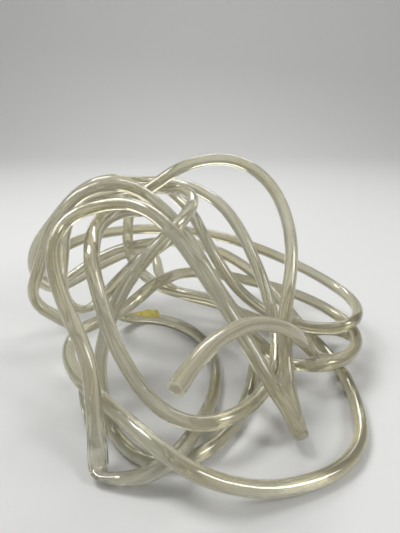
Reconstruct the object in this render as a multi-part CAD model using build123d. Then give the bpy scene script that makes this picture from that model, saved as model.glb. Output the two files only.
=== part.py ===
"""Clear silicone tubing, one long length, thrown down in a loose heap with both its ends cut square.

The heap's footprint is centred on the origin and lies on the plane Z = 0. Its front, with the open end
and the large flat loop, faces -Y. A torn scrap of tape lies on one of the low runs at the back.
"""

from build123d import *
import math
import os

# Driving sizes of the tube
BORE_DIAMETER = 6.0
WALL = 1.5

# Share of the shorter run beside a bend that the bend takes up
BEND_SHARE = 0.45

# Driving sizes of the scrap of tape
SCRAP_LENGTH = 18.0
SCRAP_WIDTH = 5.0
SCRAP_THICKNESS = 0.3

# The scrap's place in plan, and how it lies on the strand there, which begins to rise to the left
SCRAP_MIDDLE = (-36.0, 64.0)
SCRAP_LIFT = 0.62
SCRAP_TILT = 3.5

# How far the heap's middle lies from the zero of its route, in plan
MIDDLE_X = -0.7
MIDDLE_Y = -0.7

# Route of the tube from the open end in front to the hidden end: x, y, and the height of the tube's
# underside over the surface that the heap lies on
ROUTE = [
    # Open end in front, and the arch that rises from it to the right
    (-3, -105, 71), (9, -88, 78), (30, -64, 76), (48, -49, 68), (65, -39, 56), (79, -27, 37),
    (90, -14, 18),
    # Flat turn on the surface at the right
    (101, -10, 10), (113, -7, 10), (123, 0, 10), (130, 10, 10), (131, 21, 10), (124, 29, 10),
    (113, 29, 11), (98, 25, 13), (82, 33, 12),
    # Run back to the left, low behind the middle
    (63, 49, 6), (41, 57, 12), (16, 56, 22), (-6, 53, 30), (-21, 56, 38),
    # Short rise at the back
    (-27, 65, 46), (-29, 77, 54), (-38, 87, 57),
    # Run down to the left
    (-52, 92, 54), (-68, 91, 48), (-86, 87, 40), (-102, 81, 31),
    # Tall open turn at the far left
    (-117, 73, 25), (-129, 68, 29), (-136, 70, 40), (-138, 74, 54), (-132, 79, 68), (-122, 83, 80),
    (-110, 84, 94), (-96, 83, 108), (-81, 83, 118),
    # Rearmost top strand, and its way down the middle
    (-64, 84, 122), (-47, 85, 119), (-30, 85, 119), (-11, 80, 120), (9, 69, 116), (26, 57, 108),
    (39, 45, 93), (48, 33, 77), (56, 22, 60), (61, 9, 45), (63, -7, 34), (62, -21, 27),
    # Front inner loop
    (58, -35, 20), (50, -49, 18), (40, -62, 18), (28, -73, 20), (14, -80, 21), (0, -79, 22),
    (-13, -73, 25),
    # Long leg up the left of the middle
    (-25, -65, 33), (-35, -58, 47), (-43, -52, 63), (-48, -45, 80), (-53, -37, 95), (-56, -25, 105),
    (-59, -3, 109), (-58, 24, 110),
    # Rise to the high loop
    (-51, 42, 112), (-38, 53, 116),
    # High loop over the right side
    (-24, 59, 124), (-10, 65, 133), (7, 72, 138), (28, 75, 140), (47, 67, 136), (62, 53, 125),
    (70, 36, 111), (73, 19, 96), (72, 4, 80), (68, -9, 65), (65, -20, 49), (65, -30, 34),
    # Front leg of the high loop
    (65, -41, 24), (66, -51, 14),
    # Fold at the foot of that leg
    (69, -61, 2), (69, -71, 2), (67, -77, 10),
    # Front diagonal, up to the left
    (61, -73, 22), (53, -68, 33), (46, -62, 43), (39, -55, 53), (28, -44, 69), (17, -33, 82),
    (4, -21, 98), (-9, -9, 111),
    # Crest of the front diagonal
    (-24, 3, 120), (-41, 11, 123), (-58, 12, 120), (-72, 6, 117), (-81, -3, 110),
    # Front-most leg, down the left side
    (-83, -16, 100), (-78, -31, 88), (-69, -45, 77), (-60, -56, 65), (-53, -66, 53), (-50, -75, 39),
    (-50, -82, 25),
    # Kink where that leg meets the surface
    (-50, -88, 12), (-48, -92, 4), (-40, -97, 0),
    # Low loop from the front left to the back
    (-28, -99, 2), (-18, -100, 7), (-8, -98, 13), (0, -89, 14), (6, -73, 9), (12, -55, 3), (18, -36, 0),
    (21, -13, 0), (19, 14, 0), (8, 38, 0), (-12, 57, 0), (-38, 66, 0),
    # Rise inside the heap
    (-57, 58, 3), (-67, 42, 23), (-71, 31, 46), (-72, 31, 68), (-71, 37, 85),
    # Inner arc
    (-66, 46, 96), (-55, 53, 102), (-40, 53, 104), (-27, 50, 105),
    # Hidden turn, and the inner strand down to the left
    (-16, 45, 104), (-9, 37, 99), (-11, 28, 93), (-21, 20, 87), (-33, 14, 80), (-44, 7, 72),
    (-54, -1, 63),
    # Small turn at the left
    (-62, -7, 56), (-70, -11, 53), (-79, -11, 57),
    # Left inner loop, up to its crest
    (-84, -8, 67), (-85, -2, 78), (-85, 7, 88), (-87, 20, 97), (-86, 37, 107), (-78, 48, 114),
    (-65, 57, 117), (-48, 66, 118),
    # Top turn in the middle
    (-31, 73, 117), (-13, 68, 118), (0, 51, 120),
    # Inner strand down to the front left
    (5, 32, 117), (-2, 14, 110), (-15, 3, 100), (-30, -7, 86), (-42, -17, 71), (-49, -27, 56),
    (-54, -34, 40), (-56, -40, 24), (-53, -50, 9),
    # Second low loop, along the front
    (-45, -64, 0), (-32, -80, 0), (-15, -88, 0), (0, -87, 0), (15, -78, 0), (29, -62, 0), (40, -42, 0),
    (47, -18, 0),
    # Rise inside the heap
    (52, 2, 8), (49, 13, 23), (37, 18, 37),
    # Run to the left, under the back strands
    (17, 21, 44), (-6, 30, 44), (-26, 43, 44),
    # Rise at the back
    (-41, 51, 53), (-50, 62, 64), (-53, 75, 78), (-52, 88, 92), (-49, 99, 104), (-41, 105, 112),
    # Strand from the back down to the right
    (-29, 103, 114), (-18, 92, 111), (-8, 77, 106), (3, 62, 99), (11, 49, 87), (20, 38, 73),
    (31, 30, 57), (47, 24, 41), (67, 20, 29), (87, 12, 25), (106, 7, 26),
    # Turn at the far right
    (120, 8, 29), (131, 18, 30), (137, 39, 29),
    # Rear run to the left
    (132, 64, 29), (112, 83, 36), (86, 93, 46), (57, 100, 56), (27, 105, 64), (-6, 107, 69),
    (-39, 108, 70), (-70, 104, 69), (-95, 95, 66),
    # Fold at the far left
    (-111, 82, 62), (-120, 71, 58), (-125, 60, 52), (-121, 52, 45), (-111, 52, 41),
    # Rear run to the right, down to the surface
    (-101, 58, 44), (-85, 69, 53), (-63, 77, 62), (-35, 80, 67), (-7, 84, 67), (21, 83, 60),
    (44, 73, 51), (63, 60, 40), (81, 50, 22), (96, 42, 4), (107, 22, 0),
    # Large front loop
    (115, -9, 0), (114, -40, 0), (109, -65, 0), (98, -83, 0), (81, -95, 0), (63, -102, 1),
    (44, -107, 4), (25, -109, 10), (8, -109, 18), (-8, -103, 25), (-22, -92, 28), (-38, -76, 27),
    # Turn at the lower left
    (-55, -61, 27), (-68, -51, 33), (-74, -42, 43), (-71, -31, 49), (-61, -20, 49),
    # Rise to the right, inside the heap
    (-47, -9, 50), (-35, 3, 55), (-27, 15, 58),
    # Middle run to the right
    (-19, 31, 56), (-7, 55, 50), (14, 70, 43), (38, 71, 38), (63, 68, 33), (88, 62, 28), (110, 50, 23),
    (124, 33, 20),
    # Front turn at the right
    (129, 14, 19), (124, -5, 20), (110, -21, 20), (93, -29, 21), (78, -26, 19), (64, -13, 14),
    # Second diagonal, up to the left and over its crest
    (47, -9, 30), (34, -7, 48), (21, -2, 66), (9, 9, 84), (-4, 22, 101), (-20, 32, 115), (-38, 39, 126),
    (-57, 39, 128), (-74, 32, 124), (-86, 23, 114), (-93, 13, 102),
    # Turn at the left
    (-97, 4, 88), (-101, -3, 76), (-105, -7, 65), (-101, -9, 55), (-91, -9, 48),
    # Last run, behind the front-most leg, to the hidden open end
    (-79, -10, 41), (-71, -18, 30), (-69, -28, 17), (-68, -38, 6), (-63, -50, 1), (-56, -65, 0),
]


def centreline_points(route, outside_diameter):
    """Points of the tube's centreline, with the middle of the heap over the origin."""
    rise = outside_diameter / 2
    return [Vector(x - MIDDLE_X, y - MIDDLE_Y, height + rise) for x, y, height in route]


def bend_radii(points):
    """Radius of the bend at each point between the two ends."""
    radii = []
    for before, corner, after in zip(points, points[1:], points[2:]):
        run_in = corner - before
        run_out = after - corner
        tangent = BEND_SHARE * min(run_in.length, run_out.length)
        half_turn = math.radians(run_in.get_angle(run_out) / 2)
        radii.append(tangent / math.tan(half_turn))
    return radii


def tube(points, radii, outside_diameter, bore_diameter):
    """Hollow tube along straight runs joined by tangent bends, cut square at both ends."""
    path = FilletPolyline(*points, radius=radii)
    with BuildSketch(Plane(origin=path @ 0, z_dir=path % 0)) as section:
        Circle(outside_diameter / 2)
        Circle(bore_diameter / 2, mode=Mode.SUBTRACT)
    return sweep(section.sketch, path=path)


def tape_scrap(strand_top):
    """Flat torn strip, forked at one end, that rests on a strand whose top has the given height."""
    fork_depth = SCRAP_LENGTH / 4
    with BuildPart() as scrap:
        with BuildSketch():
            Rectangle(SCRAP_LENGTH, SCRAP_WIDTH)
            with BuildLine():
                Polyline(
                    (-SCRAP_LENGTH / 2, SCRAP_WIDTH / 4),
                    (-SCRAP_LENGTH / 2 + fork_depth, 0),
                    (-SCRAP_LENGTH / 2, -SCRAP_WIDTH / 4),
                    close=True,
                )
            make_face(mode=Mode.SUBTRACT)
        extrude(amount=SCRAP_THICKNESS)
    x, y = SCRAP_MIDDLE
    return Pos(x - MIDDLE_X, y - MIDDLE_Y, strand_top + SCRAP_LIFT) * Rot(0, SCRAP_TILT, 0) * scrap.part


outside_diameter = BORE_DIAMETER + 2 * WALL
points = centreline_points(ROUTE, outside_diameter)
radii = bend_radii(points)
tubing = tube(points, radii, outside_diameter, BORE_DIAMETER)
scrap = tape_scrap(outside_diameter)

section_area = math.pi / 4 * (outside_diameter**2 - BORE_DIAMETER**2)
box = tubing.bounding_box()
print(f"bends: {len(radii)}, tightest radius {min(radii):.1f} mm, widest {max(radii):.0f} mm")
print("radii:", " ".join(f"{radius:.0f}" for radius in radii))
print(f"length: {tubing.volume / section_area:.0f} mm, volume {tubing.volume / 1000:.1f} cm3")
print(f"box: X {box.min.X:.2f} {box.max.X:.2f}, Y {box.min.Y:.2f} {box.max.Y:.2f}, Z {box.min.Z:.2f} {box.max.Z:.2f}")

os.makedirs("parts", exist_ok=True)
export_step(tubing, "parts/tubing.step")
export_step(scrap, "parts/tape_scrap.step")
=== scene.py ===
"""Clear silicone tubing in a loose heap, with a torn scrap of tape on one of its low runs."""

import math

import bmesh
import bpy
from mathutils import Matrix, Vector, noise


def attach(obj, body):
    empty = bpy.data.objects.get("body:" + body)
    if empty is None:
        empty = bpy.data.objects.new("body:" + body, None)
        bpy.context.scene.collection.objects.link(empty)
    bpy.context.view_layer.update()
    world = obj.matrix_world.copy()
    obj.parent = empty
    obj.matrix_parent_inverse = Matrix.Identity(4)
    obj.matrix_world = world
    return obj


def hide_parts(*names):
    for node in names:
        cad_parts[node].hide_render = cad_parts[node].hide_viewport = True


bl_info = {
    "name": "Silicone tubing heap",
    "version": (1, 0, 0),
    "blender": (4, 5, 0),
    "location": "3D View > Sidebar > Tubing",
    "description": "Builds a loose heap of clear silicone tubing and the stage that it lies on",
    "category": "Object",
}

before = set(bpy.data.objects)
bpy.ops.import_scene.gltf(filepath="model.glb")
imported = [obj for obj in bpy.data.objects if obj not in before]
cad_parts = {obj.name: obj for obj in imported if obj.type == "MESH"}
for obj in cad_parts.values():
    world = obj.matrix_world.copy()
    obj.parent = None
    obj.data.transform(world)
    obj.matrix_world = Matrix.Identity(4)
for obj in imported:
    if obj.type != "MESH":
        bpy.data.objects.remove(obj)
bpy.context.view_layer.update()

MM = 0.001

# How far the heap's middle lies from the zero of its route, in plan
MIDDLE = Vector((-0.0007, -0.0007, 0.0))

# Height of the photograph, in pixels, and the focal length that its perspective gives
PHOTO_HEIGHT = 533
PHOTO_FOCAL = 400

# How the bends are evened out before they flatten the tube
SMOOTHING_REACH = 3.0 * MM
SMOOTHINGS = 3

# Presses that the bend alone doesn't explain: place, direction, share of the thickness that is lost, and
# reach along the tube
PRESSES = [
    # Foot of the front-most leg
    ((-0.0468, -0.0885, 0.0115), (0.0, -0.92, 0.38), 0.62, 5.0 * MM),
    # Hairpin at the top of the middle
    ((-0.0085, 0.0365, 0.1025), (0.1, -0.83, 0.5), 0.22, 18.0 * MM),
]

# How much a flattened tube spreads, and the half-height of a bore that is pressed shut
SPREAD = 0.5
CLOSED_BORE = 0.12 * MM

# How far the tube's surface strays from true, as a share, and how often along a metre
SWAY = 0.01
SWAYS = 40.0

# Points of the mesh that lie closer than this are one point
WELD = 0.01 * MM

# Place of the cut faces' material among the tube's materials, of which the skin's comes first
CUT_SLOT = 1

# Drawing lines and milky streaks: how often each repeats over the tube's length, around it, and across
DRAWING_LINES = (22.0, 12.0, 1.0)
STREAKS = (31.0, 7.0, 1.0)

# Yellowed patches and cloudy patches of the silicone: how often each comes in a metre
AGEINGS = 14.0
CLOUDS = 45.0

# Strengths of the uneven patterns between which each mark fades in
STREAK_RANGE = (0.38, 0.70)
AGEING_RANGE = (0.40, 0.66)
CLOUD_RANGE = (0.42, 0.75)

# Shares of the tube's length, from the open end in front, between which its dull stretch clears
DULL_RANGE = (0.035, 0.065)

# How much the dull stretch adds to the yellowing
DULL_AGEING = 0.2

# How milky the silicone is at its clearest, and what its streaks, clouds and dull stretch add to that
CLEAREST = 0.07
STREAK_MILK = 0.17
CLOUD_MILK = 0.06
DULL_MILK = 0.22

# Roughness of the silicone's skin, and what its clouds add to it
SKIN_ROUGHNESS = 0.05
CLOUD_ROUGHNESS = 0.08

# Mesh of the scrap of tape: steps from one station to the next, and rows across
SCRAP_STEPS = 6
SCRAP_ROWS = 8

# Creases of the tape: how close they lie, the share of their height that is the same all over, and the
# direction in which they lift the tape, of which X and Z follow the crease
CREASES = 420.0
EVEN_LIFT = 0.4
LIFT_DIRECTION = (0.25, -1.0, 0.5)

# How far from the middle of the tape the tube can touch it
STRAND_REACH = 0.05

# Where along X the tape's thin tails end and its bulk starts
TAIL_START = -0.049
BULK_START = -0.044

# Stains of the tape: how often they come in a metre, the strengths between which they fade in, how much
# of their colour shows, and how dull they are beside the rest of the tape
STAINS = 330.0
STAIN_RANGE = (0.45, 0.62)
STAIN_COLOUR = 0.7
STAIN_ROUGHNESS = 0.2
TAPE_ROUGHNESS = 0.38

# Fine crinkles of the tape, which only its shading shows: how often they come in a metre
CRINKLES = 700.0

# Light from all round, and the nearest thing that the camera sees
WORLD_STRENGTH = 0.38
NEAREST = 0.01

# Soft lamps: name, place, width, height and power
LAMPS = [
    ("key", (-0.45, 0.1, 0.95), 0.3, 0.42, 4.6),
    ("fill", (0.75, -0.35, 0.75), 0.26, 0.42, 2.8),
    ("rim", (0.1, 0.75, 0.8), 0.55, 0.22, 2.4),
]

# Route of the tube from the open end in front to the hidden end, in metres: x, y, and the height of the
# tube's underside over the surface that the heap lies on
ROUTE = [
    # Open end in front, and the arch that rises from it to the right
    (-0.0015, -0.1113, 0.0748), (0.0093, -0.0897, 0.0788), (0.030, -0.064, 0.076),
    (0.048, -0.049, 0.068), (0.065, -0.039, 0.056), (0.079, -0.027, 0.037), (0.090, -0.014, 0.018),
    # Flat turn on the surface at the right
    (0.101, -0.010, 0.010), (0.113, -0.007, 0.010), (0.123, 0.000, 0.010), (0.130, 0.010, 0.010),
    (0.131, 0.021, 0.010), (0.124, 0.029, 0.010), (0.113, 0.029, 0.011), (0.098, 0.025, 0.013),
    (0.082, 0.033, 0.012),
    # Run back to the left, low behind the middle
    (0.063, 0.049, 0.006), (0.041, 0.057, 0.012), (0.016, 0.056, 0.022), (-0.006, 0.053, 0.030),
    (-0.021, 0.056, 0.038),
    # Short rise at the back
    (-0.027, 0.065, 0.046), (-0.029, 0.077, 0.054), (-0.038, 0.087, 0.057),
    # Run down to the left
    (-0.052, 0.092, 0.054), (-0.068, 0.091, 0.048), (-0.086, 0.087, 0.040), (-0.102, 0.081, 0.031),
    # Tall open turn at the far left
    (-0.117, 0.073, 0.025), (-0.129, 0.068, 0.029), (-0.136, 0.070, 0.040), (-0.138, 0.074, 0.054),
    (-0.132, 0.079, 0.068), (-0.122, 0.083, 0.080), (-0.110, 0.084, 0.094), (-0.096, 0.083, 0.108),
    (-0.081, 0.083, 0.118),
    # Rearmost top strand, and its way down the middle
    (-0.064, 0.084, 0.122), (-0.047, 0.085, 0.119), (-0.030, 0.085, 0.119), (-0.011, 0.080, 0.120),
    (0.009, 0.069, 0.116), (0.026, 0.057, 0.108), (0.039, 0.045, 0.093), (0.048, 0.033, 0.077),
    (0.056, 0.022, 0.060), (0.061, 0.009, 0.045), (0.063, -0.007, 0.034), (0.062, -0.021, 0.027),
    # Front inner loop
    (0.058, -0.035, 0.020), (0.050, -0.049, 0.018), (0.040, -0.062, 0.018), (0.028, -0.073, 0.020),
    (0.014, -0.080, 0.021), (0.000, -0.079, 0.022), (-0.013, -0.073, 0.025),
    # Long leg up the left of the middle
    (-0.025, -0.065, 0.033), (-0.035, -0.058, 0.047), (-0.043, -0.052, 0.063), (-0.048, -0.045, 0.080),
    (-0.053, -0.037, 0.095), (-0.056, -0.025, 0.105), (-0.059, -0.003, 0.109), (-0.058, 0.024, 0.110),
    # Rise to the high loop
    (-0.051, 0.042, 0.112), (-0.038, 0.053, 0.116),
    # High loop over the right side
    (-0.024, 0.059, 0.124), (-0.010, 0.065, 0.133), (0.007, 0.072, 0.138), (0.028, 0.075, 0.140),
    (0.047, 0.067, 0.136), (0.062, 0.053, 0.125), (0.070, 0.036, 0.111), (0.073, 0.019, 0.096),
    (0.072, 0.004, 0.080), (0.068, -0.009, 0.065), (0.065, -0.020, 0.049), (0.065, -0.030, 0.034),
    # Front leg of the high loop
    (0.065, -0.041, 0.024), (0.066, -0.051, 0.014),
    # Fold at the foot of that leg
    (0.069, -0.061, 0.002), (0.069, -0.071, 0.002), (0.067, -0.077, 0.010),
    # Front diagonal, up to the left
    (0.061, -0.073, 0.022), (0.053, -0.068, 0.033), (0.046, -0.062, 0.043), (0.039, -0.055, 0.053),
    (0.028, -0.044, 0.069), (0.017, -0.033, 0.082), (0.004, -0.021, 0.098), (-0.009, -0.009, 0.111),
    # Crest of the front diagonal
    (-0.024, 0.003, 0.120), (-0.041, 0.011, 0.123), (-0.058, 0.012, 0.120), (-0.072, 0.006, 0.117),
    (-0.081, -0.003, 0.110),
    # Front-most leg, down the left side
    (-0.083, -0.016, 0.100), (-0.078, -0.031, 0.088), (-0.069, -0.045, 0.077), (-0.060, -0.056, 0.065),
    (-0.053, -0.066, 0.053), (-0.050, -0.075, 0.039), (-0.0485, -0.082, 0.025),
    # Kink where that leg meets the surface
    (-0.0478, -0.0865, 0.012), (-0.0472, -0.0905, 0.0035), (-0.0462, -0.0945, 0.0005),
    (-0.0395, -0.0970, 0.000),
    # Low loop from the front left to the back
    (-0.028, -0.099, 0.002), (-0.018, -0.100, 0.007), (-0.008, -0.098, 0.013), (0.000, -0.089, 0.014),
    (0.006, -0.073, 0.009), (0.012, -0.055, 0.003), (0.018, -0.036, 0.000), (0.021, -0.013, 0.000),
    (0.019, 0.014, 0.000), (0.008, 0.038, 0.000), (-0.012, 0.057, 0.000), (-0.038, 0.066, 0.000),
    # Rise inside the heap
    (-0.057, 0.058, 0.003), (-0.067, 0.042, 0.023), (-0.071, 0.031, 0.046), (-0.072, 0.031, 0.068),
    (-0.071, 0.037, 0.085),
    # Inner arc
    (-0.066, 0.046, 0.096), (-0.055, 0.053, 0.102), (-0.040, 0.053, 0.104), (-0.027, 0.050, 0.105),
    # Hidden turn, and the inner strand down to the left
    (-0.016, 0.045, 0.104), (-0.009, 0.037, 0.099), (-0.011, 0.028, 0.093), (-0.021, 0.020, 0.087),
    (-0.033, 0.014, 0.080), (-0.044, 0.007, 0.072), (-0.054, -0.001, 0.063),
    # Small turn at the left
    (-0.062, -0.007, 0.056), (-0.070, -0.011, 0.053), (-0.079, -0.011, 0.057),
    # Left inner loop, up to its crest
    (-0.084, -0.008, 0.067), (-0.085, -0.002, 0.078), (-0.085, 0.007, 0.088), (-0.087, 0.020, 0.097),
    (-0.086, 0.037, 0.107), (-0.078, 0.048, 0.114), (-0.065, 0.057, 0.117), (-0.048, 0.066, 0.118),
    # Top turn in the middle
    (-0.031, 0.073, 0.117), (-0.013, 0.068, 0.118), (0.000, 0.051, 0.120),
    # Inner strand down to the front left
    (0.005, 0.032, 0.117), (-0.002, 0.014, 0.110), (-0.015, 0.003, 0.100), (-0.030, -0.007, 0.086),
    (-0.042, -0.017, 0.071), (-0.049, -0.027, 0.056), (-0.054, -0.034, 0.040), (-0.056, -0.040, 0.024),
    (-0.053, -0.050, 0.009),
    # Second low loop, along the front
    (-0.045, -0.064, 0.000), (-0.032, -0.080, 0.000), (-0.015, -0.088, 0.000), (0.000, -0.087, 0.000),
    (0.015, -0.078, 0.000), (0.029, -0.062, 0.000), (0.040, -0.042, 0.000), (0.047, -0.018, 0.000),
    # Rise inside the heap
    (0.052, 0.002, 0.008), (0.049, 0.013, 0.023), (0.037, 0.018, 0.037),
    # Run to the left, under the back strands
    (0.017, 0.021, 0.044), (-0.006, 0.030, 0.044), (-0.026, 0.043, 0.044),
    # Rise at the back
    (-0.041, 0.051, 0.053), (-0.050, 0.062, 0.064), (-0.053, 0.075, 0.078), (-0.052, 0.088, 0.092),
    (-0.049, 0.099, 0.104), (-0.041, 0.105, 0.112),
    # Strand from the back down to the right
    (-0.029, 0.103, 0.114), (-0.018, 0.092, 0.111), (-0.008, 0.077, 0.106), (0.003, 0.062, 0.099),
    (0.011, 0.049, 0.087), (0.020, 0.038, 0.073), (0.031, 0.030, 0.057), (0.047, 0.024, 0.041),
    (0.067, 0.020, 0.029), (0.087, 0.012, 0.025), (0.106, 0.007, 0.026),
    # Turn at the far right
    (0.120, 0.008, 0.029), (0.131, 0.018, 0.030), (0.137, 0.039, 0.029),
    # Rear run to the left
    (0.132, 0.064, 0.029), (0.112, 0.083, 0.036), (0.086, 0.093, 0.046), (0.057, 0.100, 0.056),
    (0.027, 0.105, 0.064), (-0.006, 0.107, 0.069), (-0.039, 0.108, 0.070), (-0.070, 0.104, 0.069),
    (-0.095, 0.095, 0.066),
    # Fold at the far left
    (-0.111, 0.082, 0.062), (-0.120, 0.071, 0.058), (-0.125, 0.060, 0.052), (-0.121, 0.052, 0.045),
    (-0.111, 0.052, 0.041),
    # Rear run to the right, down to the surface
    (-0.101, 0.058, 0.044), (-0.085, 0.069, 0.053), (-0.063, 0.077, 0.062), (-0.035, 0.080, 0.067),
    (-0.007, 0.084, 0.067), (0.021, 0.083, 0.060), (0.044, 0.073, 0.051), (0.063, 0.060, 0.040),
    (0.081, 0.050, 0.022), (0.096, 0.042, 0.004), (0.107, 0.022, 0.000),
    # Large front loop
    (0.115, -0.009, 0.000), (0.114, -0.040, 0.000), (0.109, -0.065, 0.000), (0.098, -0.083, 0.000),
    (0.081, -0.095, 0.000), (0.063, -0.102, 0.001), (0.044, -0.107, 0.004), (0.025, -0.109, 0.010),
    (0.008, -0.109, 0.018), (-0.008, -0.103, 0.025), (-0.022, -0.092, 0.028), (-0.038, -0.076, 0.027),
    # Turn at the lower left
    (-0.055, -0.061, 0.027), (-0.068, -0.051, 0.033), (-0.074, -0.042, 0.043), (-0.071, -0.031, 0.049),
    (-0.061, -0.020, 0.049),
    # Rise to the right, inside the heap
    (-0.047, -0.009, 0.050), (-0.035, 0.003, 0.055), (-0.027, 0.015, 0.058),
    # Middle run to the right
    (-0.019, 0.031, 0.056), (-0.007, 0.055, 0.050), (0.014, 0.070, 0.043), (0.038, 0.071, 0.038),
    (0.063, 0.068, 0.033), (0.088, 0.062, 0.028), (0.110, 0.050, 0.023), (0.124, 0.033, 0.020),
    # Front turn at the right
    (0.129, 0.014, 0.019), (0.124, -0.005, 0.020), (0.110, -0.021, 0.020), (0.093, -0.029, 0.021),
    (0.078, -0.026, 0.019), (0.064, -0.013, 0.014),
    # Second diagonal, up to the left and over its crest
    (0.047, -0.009, 0.030), (0.034, -0.007, 0.048), (0.021, -0.002, 0.066), (0.009, 0.009, 0.084),
    (-0.004, 0.022, 0.101), (-0.020, 0.032, 0.115), (-0.038, 0.039, 0.126), (-0.057, 0.039, 0.128),
    (-0.074, 0.032, 0.124), (-0.086, 0.023, 0.114), (-0.093, 0.013, 0.102),
    # Turn at the left
    (-0.097, 0.004, 0.088), (-0.101, -0.003, 0.076), (-0.105, -0.007, 0.065), (-0.101, -0.009, 0.055),
    (-0.091, -0.009, 0.048),
    # Last run, behind the front-most leg, to the hidden open end
    (-0.079, -0.010, 0.041), (-0.071, -0.018, 0.030), (-0.069, -0.028, 0.017), (-0.068, -0.038, 0.006),
    (-0.063, -0.050, 0.001), (-0.056, -0.065, 0.000),
]

# Strips of the scrap, each as stations with the places of its lower and its upper edge, in millimetres
SCRAP_STRIPS = [
    # Bulk, from its right tip to the fork, and the tail that stays on the tube
    [
        ((-26.0, 61.2, 8.8), (-26.0, 61.5, 9.3)),
        ((-27.3, 60.6, 7.6), (-27.0, 63.4, 11.2)),
        ((-30.0, 60.3, 7.2), (-29.4, 64.8, 13.6)),
        ((-33.4, 60.2, 7.5), (-32.8, 64.4, 13.0)),
        ((-38.0, 60.2, 7.9), (-37.6, 64.8, 13.9)),
        ((-43.0, 60.2, 9.3), (-42.6, 63.8, 12.6)),
        ((-47.5, 59.5, 10.6), (-47.0, 61.9, 12.7)),
        ((-51.3, 57.2, 11.7), (-51.0, 59.0, 13.5)),
        ((-54.8, 53.9, 12.9), (-54.4, 55.3, 14.8)),
        ((-57.9, 49.9, 15.2), (-57.5, 50.8, 16.8)),
        ((-59.4, 47.6, 17.3), (-59.3, 47.9, 17.7)),
    ],
    # Tail that hangs down in front
    [
        ((-52.6, 55.6, 12.2), (-52.2, 56.4, 14.0)),
        ((-55.6, 52.8, 11.4), (-54.7, 53.0, 13.0)),
        ((-58.4, 51.2, 8.2), (-57.2, 51.0, 9.6)),
        ((-60.8, 51.0, 5.4), (-59.9, 50.8, 6.6)),
        ((-62.9, 51.2, 3.4), (-62.6, 51.0, 3.9)),
    ],
]


def smooth_line(points, resolution):
    """Points along the smooth line that the route's points pull, in order."""
    curve = bpy.data.curves.new("route", "CURVE")
    curve.dimensions = "3D"
    spline = curve.splines.new("NURBS")
    spline.points.add(len(points) - 1)
    for control, point in zip(spline.points, points):
        control.co = (*point, 1.0)
    spline.order_u = 3
    spline.use_endpoint_u = True
    spline.resolution_u = resolution
    carrier = bpy.data.objects.new("route", curve)
    mesh = bpy.data.meshes.new_from_object(carrier)
    line = [vertex.co.copy() for vertex in mesh.vertices]
    bpy.data.meshes.remove(mesh)
    bpy.data.objects.remove(carrier)
    bpy.data.curves.remove(curve)
    return line


def distances_along(line):
    """Distance of each point of the line from its start."""
    total = [0.0]
    for before, after in zip(line, line[1:]):
        total.append(total[-1] + (after - before).length)
    return total


def tangents_along(line):
    """Unit direction of the line at each of its points."""
    last = len(line) - 1
    return [(line[min(i + 1, last)] - line[max(i - 1, 0)]).normalized() for i in range(last + 1)]


def untwisted_sides(tangents):
    """Unit vector square to each tangent, which turns as little as it can from one to the next."""
    side = tangents[0].orthogonal().normalized()
    sides = [side]
    for tangent in tangents[1:]:
        side = (side - tangent * side.dot(tangent)).normalized()
        sides.append(side)
    return sides


def running_mean(values, distances, reach):
    """Mean of the values within reach along the line on either side of each point."""
    means = []
    first = 0
    last = 0
    count = len(values)
    for i in range(count):
        while distances[i] - distances[first] > reach:
            first += 1
        while last < count - 1 and distances[last + 1] - distances[i] <= reach:
            last += 1
        window = values[first : last + 1]
        means.append(sum(window, window[0] * 0.0) / len(window))
    return means


def bends_along(tangents, distances):
    """Bend of the line at each point: a vector towards the bend's centre, one over the radius long."""
    last = len(tangents) - 1
    bends = []
    for i in range(last + 1):
        low = max(i - 1, 0)
        high = min(i + 1, last)
        bends.append((tangents[high] - tangents[low]) / (distances[high] - distances[low]))
    return bends


def carried(values, distances, reach):
    """Strongest of the values before each point, each weakened by the distance from its own point."""
    strongest = [values[0]]
    for i in range(1, len(values)):
        kept = strongest[-1] * math.exp(-abs(distances[i] - distances[i - 1]) / reach)
        strongest.append(values[i] if values[i].length >= kept.length else kept)
    return strongest


class Signal:
    """A socket of a finish, on which arithmetic adds its maths nodes."""

    def __init__(self, finish, socket):
        self.finish = finish
        self.socket = socket

    def maths(self, operation, first, second):
        """Result of one step of arithmetic on two signals or numbers."""
        return self.finish.node("ShaderNodeMath", {"operation": operation}, {0: first, 1: second})

    def __add__(self, other):
        return self.maths("ADD", self, other)

    def __radd__(self, other):
        return self.maths("ADD", other, self)

    def __sub__(self, other):
        return self.maths("SUBTRACT", self, other)

    def __rsub__(self, other):
        return self.maths("SUBTRACT", other, self)

    def __mul__(self, other):
        return self.maths("MULTIPLY", self, other)

    def __rmul__(self, other):
        return self.maths("MULTIPLY", other, self)


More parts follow.
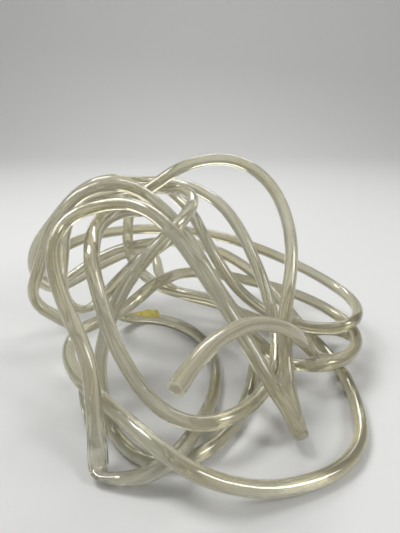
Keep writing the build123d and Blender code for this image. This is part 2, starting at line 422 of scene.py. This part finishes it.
class Finish:
    """A material and the shorthand that builds its nodes."""

    def __init__(self, name):
        self.material = bpy.data.materials.new(name)
        self.material.use_nodes = True
        self.tree = self.material.node_tree
        self.shader = self.tree.nodes["Principled BSDF"]

    def node(self, kind, settings=None, inputs=None, output=0):
        """Adds a node with its settings, then the values or links of its sockets."""
        node = self.tree.nodes.new(kind)
        for name, value in (settings or {}).items():
            setattr(node, name, value)
        for name, value in (inputs or {}).items():
            self.feed(node.inputs[name], value)
        return Signal(self, node.outputs[output])

    def feed(self, socket, value):
        """Links a signal to a socket, or sets the socket's own value."""
        if isinstance(value, Signal):
            self.tree.links.new(value.socket, socket)
        else:
            socket.default_value = value

    def surface(self, values):
        """Sets or links the sockets of the finish's shader."""
        for name, value in values.items():
            self.feed(self.shader.inputs[name], value)

    def noise(self, place, scale, detail, roughness=0.5):
        """Soft uneven pattern from 0 to 1."""
        return self.node(
            "ShaderNodeTexNoise",
            inputs={"Vector": place, "Scale": scale, "Detail": detail, "Roughness": roughness},
        )

    def mask(self, signal, low, high):
        """Rises from 0 to 1 as the signal goes from low to high."""
        return self.node(
            "ShaderNodeMapRange",
            {"interpolation_type": "SMOOTHSTEP"},
            {"Value": signal, "From Min": low, "From Max": high},
        )

    def blend(self, share, first, second):
        """First colour where the share is 0, second where it is 1."""
        return self.node(
            "ShaderNodeMix",
            {"data_type": "RGBA"},
            {"Factor": share, 6: first, 7: second},
            output=2,
        )


def colour_property(name, description, default):
    """Setting that holds a colour."""
    return bpy.props.FloatVectorProperty(
        name=name, description=description, subtype="COLOR", size=3, min=0.0, max=1.0, default=default
    )


def length_property(name, description, default):
    """Setting that holds a length, in metres."""
    return bpy.props.FloatProperty(
        name=name, description=description, unit="LENGTH", min=0.0, default=default, precision=4
    )


class TubingSettings(bpy.types.PropertyGroup):
    """Sizes and colours of the tube"""

    bore: length_property("Bore", "Inside diameter of the tube", 6.0 * MM)
    wall: length_property("Wall", "Thickness of the tube's wall", 1.5 * MM)
    length: length_property("Length", "Length of the tube along its centreline", 5.12)
    steps: bpy.props.IntProperty(
        name="Steps",
        description="Rings of the mesh between two points of the route",
        min=2,
        default=6,
    )
    sides: bpy.props.IntProperty(
        name="Sides",
        description="Faces around the tube",
        min=8,
        default=24,
    )
    squeeze: bpy.props.FloatProperty(
        name="Squeeze",
        description="How strongly a tight bend flattens the tube",
        min=0.0,
        default=2.6,
    )
    flattest: bpy.props.FloatProperty(
        name="Flattest",
        description="Most of its thickness that the tube loses at a fold",
        subtype="FACTOR",
        min=0.0,
        max=0.9,
        default=0.66,
    )
    crease_reach: length_property(
        "Crease reach", "How far a crease flattens the tube beside it", 16.0 * MM
    )
    colour: colour_property("Silicone", "Colour of the clear silicone", (0.95, 0.94, 0.89))
    aged: colour_property(
        "Aged silicone", "Colour where the clear silicone has yellowed", (0.94, 0.915, 0.82)
    )
    milk: colour_property("Milk", "Colour of the milky silicone", (0.85, 0.83, 0.71))
    aged_milk: colour_property(
        "Aged milk", "Colour where the milky silicone has yellowed", (0.76, 0.71, 0.54)
    )
    cut: colour_property("Cut silicone", "Colour of the tube's cut faces", (0.84, 0.80, 0.60))
    depth: colour_property(
        "Depth", "Colour that the silicone takes where it is thick", (0.80, 0.78, 0.48)
    )
    depth_density: bpy.props.FloatProperty(
        name="Depth density",
        description="How fast the silicone takes the colour of its depth",
        min=0.0,
        default=75.0,
    )


class ScrapSettings(bpy.types.PropertyGroup):
    """Sizes and colours of the scrap of tape"""

    thickness: length_property("Thickness", "Thickness of the tape", 0.2 * MM)
    crumple: length_property("Crumple", "Height of the tape's creases", 0.5 * MM)
    colour: colour_property("Tape", "Colour of the tape", (0.82, 0.72, 0.22))
    stain: colour_property("Stain", "Colour of the tape's darker patches", (0.66, 0.56, 0.10))
    bleached: colour_property("Bleached tape", "Colour of the tape's thin tails", (0.72, 0.66, 0.36))


class StageSettings(bpy.types.PropertyGroup):
    """Sizes and colour of the floor and backdrop, and the camera's place"""

    floor: colour_property("Floor", "Colour of the floor and backdrop", (0.78, 0.78, 0.77))
    floor_width: length_property("Floor width", "Width of the floor and backdrop", 5.0)
    floor_front: length_property("Floor in front", "Reach of the floor before the middle", 2.4)
    floor_back: length_property("Floor behind", "Reach of the floor behind the middle", 0.9)
    backdrop_bend: length_property("Backdrop bend", "Radius between the floor and the backdrop", 0.5)
    backdrop_height: length_property("Backdrop height", "Height of the backdrop's upright", 1.0)
    backdrop_steps: bpy.props.IntProperty(
        name="Backdrop steps",
        description="Faces along the floor and backdrop",
        min=8,
        default=96,
    )
    camera_height: length_property("Camera height", "Height of the camera over the floor", 0.2)
    camera_back: length_property(
        "Camera distance", "Distance of the camera before the middle", 0.2443
    )
    camera_side: length_property(
        "Camera side", "Distance of the camera to the right of the middle", 0.0097
    )
    camera_pitch: bpy.props.FloatProperty(
        name="Camera pitch",
        description="Angle that the camera looks down",
        subtype="ANGLE",
        default=math.radians(25.0),
    )


def tube_line(settings):
    """Centreline of the tube, as points along its route."""
    rise = Vector((0.0, 0.0, settings.bore / 2 + settings.wall))
    return smooth_line([Vector(point) - MIDDLE + rise for point in ROUTE], settings.steps)


def squeezes_along(settings, line, tangents, distances):
    """Squeeze of the tube at each point: a vector towards the bend's centre, as long as the share of its
    thickness that the tube loses."""
    radius = settings.bore / 2 + settings.wall
    bends = bends_along(tangents, distances)
    for _ in range(SMOOTHINGS):
        bends = running_mean(bends, distances, SMOOTHING_REACH)
    squeezes = []
    for bend in bends:
        sharpness = bend.length * radius
        share = settings.squeeze * sharpness * sharpness / settings.flattest
        loss = settings.flattest * math.tanh(share)
        squeezes.append(bend.normalized() * loss)
    for place, direction, loss, reach in PRESSES:
        nearest = min(range(len(line)), key=lambda i: (line[i] - Vector(place)).length)
        for i, distance in enumerate(distances):
            if abs(distance - distances[nearest]) < reach:
                squeezes[i] = Vector(direction).normalized() * loss
    ahead = carried(squeezes, distances, settings.crease_reach)
    behind = carried(squeezes[::-1], distances[::-1], settings.crease_reach)[::-1]
    squeezes = [max(pair, key=lambda squeeze: squeeze.length) for pair in zip(ahead, behind)]
    for _ in range(SMOOTHINGS):
        squeezes = running_mean(squeezes, distances, SMOOTHING_REACH)
    return squeezes


def tube_frames(settings, line, distances):
    """At each point of the line: the point, two sides of the section, the direction in which it is
    squeezed, and its half-widths across that direction and along it."""
    radius = settings.bore / 2 + settings.wall
    tangents = tangents_along(line)
    sides = untwisted_sides(tangents)
    squeezes = squeezes_along(settings, line, tangents, distances)
    frames = []
    for point, tangent, side, squeeze in zip(line, tangents, sides, squeezes):
        inward = squeeze - tangent * squeeze.dot(tangent)
        wide = radius * (1.0 + SPREAD * inward.length)
        thick = radius * (1.0 - inward.length)
        frames.append((point, side, tangent.cross(side), inward.normalized(), wide, thick))
    return frames


def add_wall(bm, frames, distances, inset, sides):
    """Wraps a grid round the line, as far inside the tube's outer surface as the inset."""
    rings = len(frames)
    grid = bmesh.ops.create_grid(bm, x_segments=rings - 1, y_segments=sides, size=1.0, calc_uvs=True)
    for vertex in grid["verts"]:
        ring = round((vertex.co.x + 1.0) / 2.0 * (rings - 1))
        angle = (vertex.co.y + 1.0) * math.pi
        point, side, other, inward, wide, thick = frames[ring]
        wide = wide - inset
        thick = max(thick - inset, CLOSED_BORE)
        spoke = side * math.cos(angle) + other * math.sin(angle)
        place = spoke * wide - inward * (spoke.dot(inward) * (wide - thick))
        sway = noise.noise(Vector((distances[ring] * SWAYS, math.cos(angle), math.sin(angle))))
        vertex.co = point + place * (1.0 + SWAY * sway)


def strip_point(strip, along, across):
    """Point of a strip at a share of the way along it and across it."""
    span = along * (len(strip) - 1)
    first = min(int(span), len(strip) - 2)
    step = span - first
    ends = [Vector(edge) * MM for station in strip[first : first + 2] for edge in station]
    low = ends[0].lerp(ends[2], step)
    high = ends[1].lerp(ends[3], step)
    return low.lerp(high, across)


def kept_off(place, line, clearance):
    """The place, or the nearest one that lies the clearance away from the line."""
    nearest = min(line, key=lambda point: (point - place).length)
    away = place - nearest
    return nearest + away.normalized() * max(away.length, clearance)


def backdrop_point(share, settings):
    """Distance back and height of the floor and backdrop's profile at a share of its length."""
    bend = settings.backdrop_bend
    quarter = bend * math.pi / 2
    run = share * (settings.floor_front + settings.floor_back + quarter + settings.backdrop_height)
    run -= settings.floor_front
    if run < settings.floor_back:
        return run, 0.0
    angle = min((run - settings.floor_back) / bend, math.pi / 2)
    rise = max(run - settings.floor_back - quarter, 0.0)
    return settings.floor_back + bend * math.sin(angle), bend * (1.0 - math.cos(angle)) + rise


def silicone_finish(settings):
    """Clear silicone, yellowed a little, with milky streaks and a dull stretch at its open end."""
    finish = Finish("silicone")
    place = finish.node("ShaderNodeTexCoord", output="Object")
    along = finish.node("ShaderNodeUVMap", {"uv_map": "along_and_around"})
    share = finish.node("ShaderNodeSeparateXYZ", inputs={0: along})
    lines_place = finish.node("ShaderNodeMapping", inputs={"Vector": along, "Scale": DRAWING_LINES})
    drawing_lines = finish.noise(lines_place, scale=1.0, detail=1.0)
    streak_place = finish.node("ShaderNodeMapping", inputs={"Vector": along, "Scale": STREAKS})
    streaks = finish.mask(finish.noise(streak_place, scale=1.0, detail=1.0), *STREAK_RANGE)
    dull = 1.0 - finish.mask(share, *DULL_RANGE)
    patches = finish.noise(place, scale=AGEINGS, detail=2.0)
    ageing = finish.mask(patches + dull * DULL_AGEING, *AGEING_RANGE)
    cloud = finish.mask(finish.noise(place, scale=CLOUDS, detail=3.0, roughness=0.55), *CLOUD_RANGE)
    tint = finish.blend(ageing, (*settings.colour, 1.0), (*settings.aged, 1.0))
    milk = finish.blend(ageing, (*settings.milk, 1.0), (*settings.aged_milk, 1.0))
    bump = finish.node(
        "ShaderNodeBump",
        inputs={"Strength": 0.2, "Distance": 0.6 * MM, "Height": drawing_lines},
    )
    gloss = {
        "Roughness": SKIN_ROUGHNESS + cloud * CLOUD_ROUGHNESS,
        "Normal": bump,
        "IOR": 1.41,
        "Specular IOR Level": 0.8,
        "Coat Weight": 1.0,
        "Coat Roughness": 0.06,
        "Coat IOR": 1.5,
    }
    finish.surface({"Base Color": tint, "Transmission Weight": 1.0, **gloss})
    clear = Signal(finish, finish.shader.outputs[0])
    milky = finish.node("ShaderNodeBsdfPrincipled", inputs={"Base Color": milk, **gloss})
    milkiness = CLEAREST + streaks * STREAK_MILK + cloud * CLOUD_MILK + dull * DULL_MILK
    mixed = finish.node("ShaderNodeMixShader", inputs={0: milkiness, 1: clear, 2: milky})
    depth = finish.node(
        "ShaderNodeVolumeAbsorption",
        inputs={"Color": (*settings.depth, 1.0), "Density": settings.depth_density},
    )
    output = finish.tree.nodes["Material Output"]
    finish.feed(output.inputs["Surface"], mixed)
    finish.feed(output.inputs["Volume"], depth)
    return finish.material


def cut_finish(settings):
    """Cut face of the silicone, dull and more yellow than its skin."""
    finish = Finish("cut silicone")
    finish.surface(
        {"Base Color": (*settings.cut, 1.0), "Roughness": 0.42, "Transmission Weight": 0.15}
    )
    return finish.material


def tape_finish(settings):
    """Torn yellow tape that has bleached where it is thin."""
    finish = Finish("tape")
    place = finish.node("ShaderNodeTexCoord", output="Object")
    reach = finish.node("ShaderNodeSeparateXYZ", inputs={0: place})
    stain = finish.mask(finish.noise(place, scale=STAINS, detail=4.0), *STAIN_RANGE)
    crinkles = finish.noise(place, scale=CRINKLES, detail=4.0, roughness=0.7)
    thin = 1.0 - finish.mask(reach, TAIL_START, BULK_START)
    colour = finish.blend(stain * STAIN_COLOUR, (*settings.colour, 1.0), (*settings.stain, 1.0))
    colour = finish.blend(thin, colour, (*settings.bleached, 1.0))
    bump = finish.node(
        "ShaderNodeBump",
        inputs={"Strength": 0.5, "Distance": 0.4 * MM, "Height": crinkles},
    )
    roughness = TAPE_ROUGHNESS + stain * STAIN_ROUGHNESS
    finish.surface({"Base Color": colour, "Roughness": roughness, "Normal": bump})
    return finish.material


def stage_finish(settings):
    """Plain matt floor and backdrop."""
    finish = Finish("stage")
    finish.surface({"Base Color": (*settings.floor, 1.0), "Roughness": 0.9})
    return finish.material


def add_piece(name, bm, *materials):
    """Turns a bmesh into an object in the scene."""
    mesh = bpy.data.meshes.new(name)
    bm.to_mesh(mesh)
    bm.free()
    for material in materials:
        mesh.materials.append(material)
    piece = bpy.data.objects.new(name, mesh)
    bpy.context.scene.collection.objects.link(piece)
    return piece


def add_lamp(scene, name, place, width, height, power):
    """Adds a soft lamp that faces the heap."""
    lamp = bpy.data.lights.new(name, "AREA")
    lamp.shape = "RECTANGLE"
    lamp.size = width
    lamp.size_y = height
    lamp.energy = power
    holder = bpy.data.objects.new(name, lamp)
    holder.location = place
    holder.rotation_euler = (-Vector(place)).to_track_quat("-Z", "Y").to_euler()
    scene.collection.objects.link(holder)
    return holder


class BuildTubing(bpy.types.Operator):
    """Builds the tube along its route, flattened where it bends sharply"""

    bl_idname = "tubing_heap.build_tubing"
    bl_label = "Build tubing"

    def execute(self, context):
        settings = context.scene.tubing_settings
        radius = settings.bore / 2 + settings.wall
        line = tube_line(settings)
        distances = distances_along(line)
        frames = tube_frames(settings, line, distances)
        bm = bmesh.new()
        bm.loops.layers.uv.new("along_and_around")
        add_wall(bm, frames, distances, 0.0, settings.sides)
        add_wall(bm, frames, distances, settings.wall, settings.sides)
        bmesh.ops.remove_doubles(bm, verts=bm.verts, dist=WELD)
        rims = [edge for edge in bm.edges if edge.is_boundary]
        for face in bm.faces:
            face.smooth = True
        for rim in rims:
            rim.smooth = False
        for end in (line[0], line[-1]):
            near = [edge for edge in rims if (edge.verts[0].co - end).length < 2 * radius]
            cap = bmesh.ops.bridge_loops(bm, edges=near)
            for face in cap["faces"]:
                face.material_index = CUT_SLOT
        bmesh.ops.recalc_face_normals(bm, faces=bm.faces)
        tubing = add_piece("silicone_tubing", bm, silicone_finish(settings), cut_finish(settings))
        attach(tubing, "root")
        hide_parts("tubing")
        return {"FINISHED"}


class BuildScrap(bpy.types.Operator):
    """Builds the torn scrap of tape that clings to a low run"""

    bl_idname = "tubing_heap.build_scrap"
    bl_label = "Build scrap of tape"

    def execute(self, context):
        settings = context.scene.scrap_settings
        tube_settings = context.scene.tubing_settings
        middle = strip_point(SCRAP_STRIPS[0], 0.5, 0.5)
        side, front, up = LIFT_DIRECTION
        whole_line = tube_line(tube_settings)
        line = [point for point in whole_line if (point - middle).length < STRAND_REACH]
        clearance = tube_settings.bore / 2 + tube_settings.wall + settings.thickness
        bm = bmesh.new()
        for strip in SCRAP_STRIPS:
            steps = (len(strip) - 1) * SCRAP_STEPS
            grid = bmesh.ops.create_grid(bm, x_segments=steps, y_segments=SCRAP_ROWS, size=1.0)
            for vertex in grid["verts"]:
                along = (vertex.co.x + 1.0) / 2.0
                across = (vertex.co.y + 1.0) / 2.0
                place = strip_point(strip, along, across)
                crease = noise.noise(place * CREASES)
                lift = (settings.crumple * across) * (EVEN_LIFT + abs(crease))
                place = kept_off(place, line, clearance)
                vertex.co = place + Vector((side * crease, front, up * crease)) * lift
        for face in bm.faces:
            face.smooth = True
        bmesh.ops.recalc_face_normals(bm, faces=bm.faces)
        scrap = add_piece("torn_tape", bm, tape_finish(settings))
        solid = scrap.modifiers.new("thickness", "SOLIDIFY")
        solid.thickness = settings.thickness
        solid.offset = 0.0
        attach(scrap, "root")
        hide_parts("tape_scrap")
        return {"FINISHED"}


class BuildStage(bpy.types.Operator):
    """Builds the floor, the backdrop, the lamps and the camera"""

    bl_idname = "tubing_heap.build_stage"
    bl_label = "Build stage"

    def execute(self, context):
        settings = context.scene.stage_settings
        scene = context.scene
        bm = bmesh.new()
        grid = bmesh.ops.create_grid(bm, x_segments=1, y_segments=settings.backdrop_steps, size=1.0)
        for vertex in grid["verts"]:
            back, rise = backdrop_point((vertex.co.y + 1.0) / 2.0, settings)
            vertex.co = Vector((vertex.co.x * settings.floor_width / 2, back, rise))
        for face in bm.faces:
            face.smooth = True
        floor = add_piece("floor", bm, stage_finish(settings))
        world = bpy.data.worlds.new("studio")
        world.use_nodes = True
        background = world.node_tree.nodes["Background"]
        background.inputs["Color"].default_value = (1.0, 1.0, 1.0, 1.0)
        background.inputs["Strength"].default_value = WORLD_STRENGTH
        scene.world = world
        for name, place, width, height, power in LAMPS:
            add_lamp(scene, name, place, width, height, power)
        camera_data = bpy.data.cameras.new("camera")
        camera_data.sensor_fit = "VERTICAL"
        camera_data.lens = camera_data.sensor_height * PHOTO_FOCAL / PHOTO_HEIGHT
        camera_data.clip_start = NEAREST
        camera = bpy.data.objects.new("camera", camera_data)
        camera.location = (settings.camera_side, -settings.camera_back, settings.camera_height)
        camera.rotation_euler = (math.pi / 2 - settings.camera_pitch, 0.0, 0.0)
        scene.collection.objects.link(camera)
        scene.camera = camera
        scene.view_settings.view_transform = "Standard"
        return {"FINISHED"}


class TubingPanel(bpy.types.Panel):
    """Lists the heap's pieces and their settings"""

    bl_idname = "VIEW3D_PT_tubing_heap"
    bl_label = "Silicone tubing"
    bl_space_type = "VIEW_3D"
    bl_region_type = "UI"
    bl_category = "Tubing"

    def draw(self, context):
        for group in ("tubing_settings", "scrap_settings", "stage_settings"):
            settings = getattr(context.scene, group)
            box = self.layout.box()
            for name in settings.__annotations__:
                box.prop(settings, name)
        for operator in (BuildTubing, BuildScrap, BuildStage):
            self.layout.operator(operator.bl_idname)


CLASSES = (
    TubingSettings,
    ScrapSettings,
    StageSettings,
    BuildTubing,
    BuildScrap,
    BuildStage,
    TubingPanel,
)


def register():
    """Adds the settings, the operators and the panel."""
    for cls in CLASSES:
        bpy.utils.register_class(cls)
    bpy.types.Scene.tubing_settings = bpy.props.PointerProperty(type=TubingSettings)
    bpy.types.Scene.scrap_settings = bpy.props.PointerProperty(type=ScrapSettings)
    bpy.types.Scene.stage_settings = bpy.props.PointerProperty(type=StageSettings)


def unregister():
    """Takes away what register adds."""
    del bpy.types.Scene.tubing_settings
    del bpy.types.Scene.scrap_settings
    del bpy.types.Scene.stage_settings
    for cls in reversed(CLASSES):
        bpy.utils.unregister_class(cls)


def main():
    """Builds the heap and its stage."""
    register()
    bpy.ops.tubing_heap.build_stage()
    bpy.ops.tubing_heap.build_tubing()
    bpy.ops.tubing_heap.build_scrap()


if __name__ == "__main__":
    main()
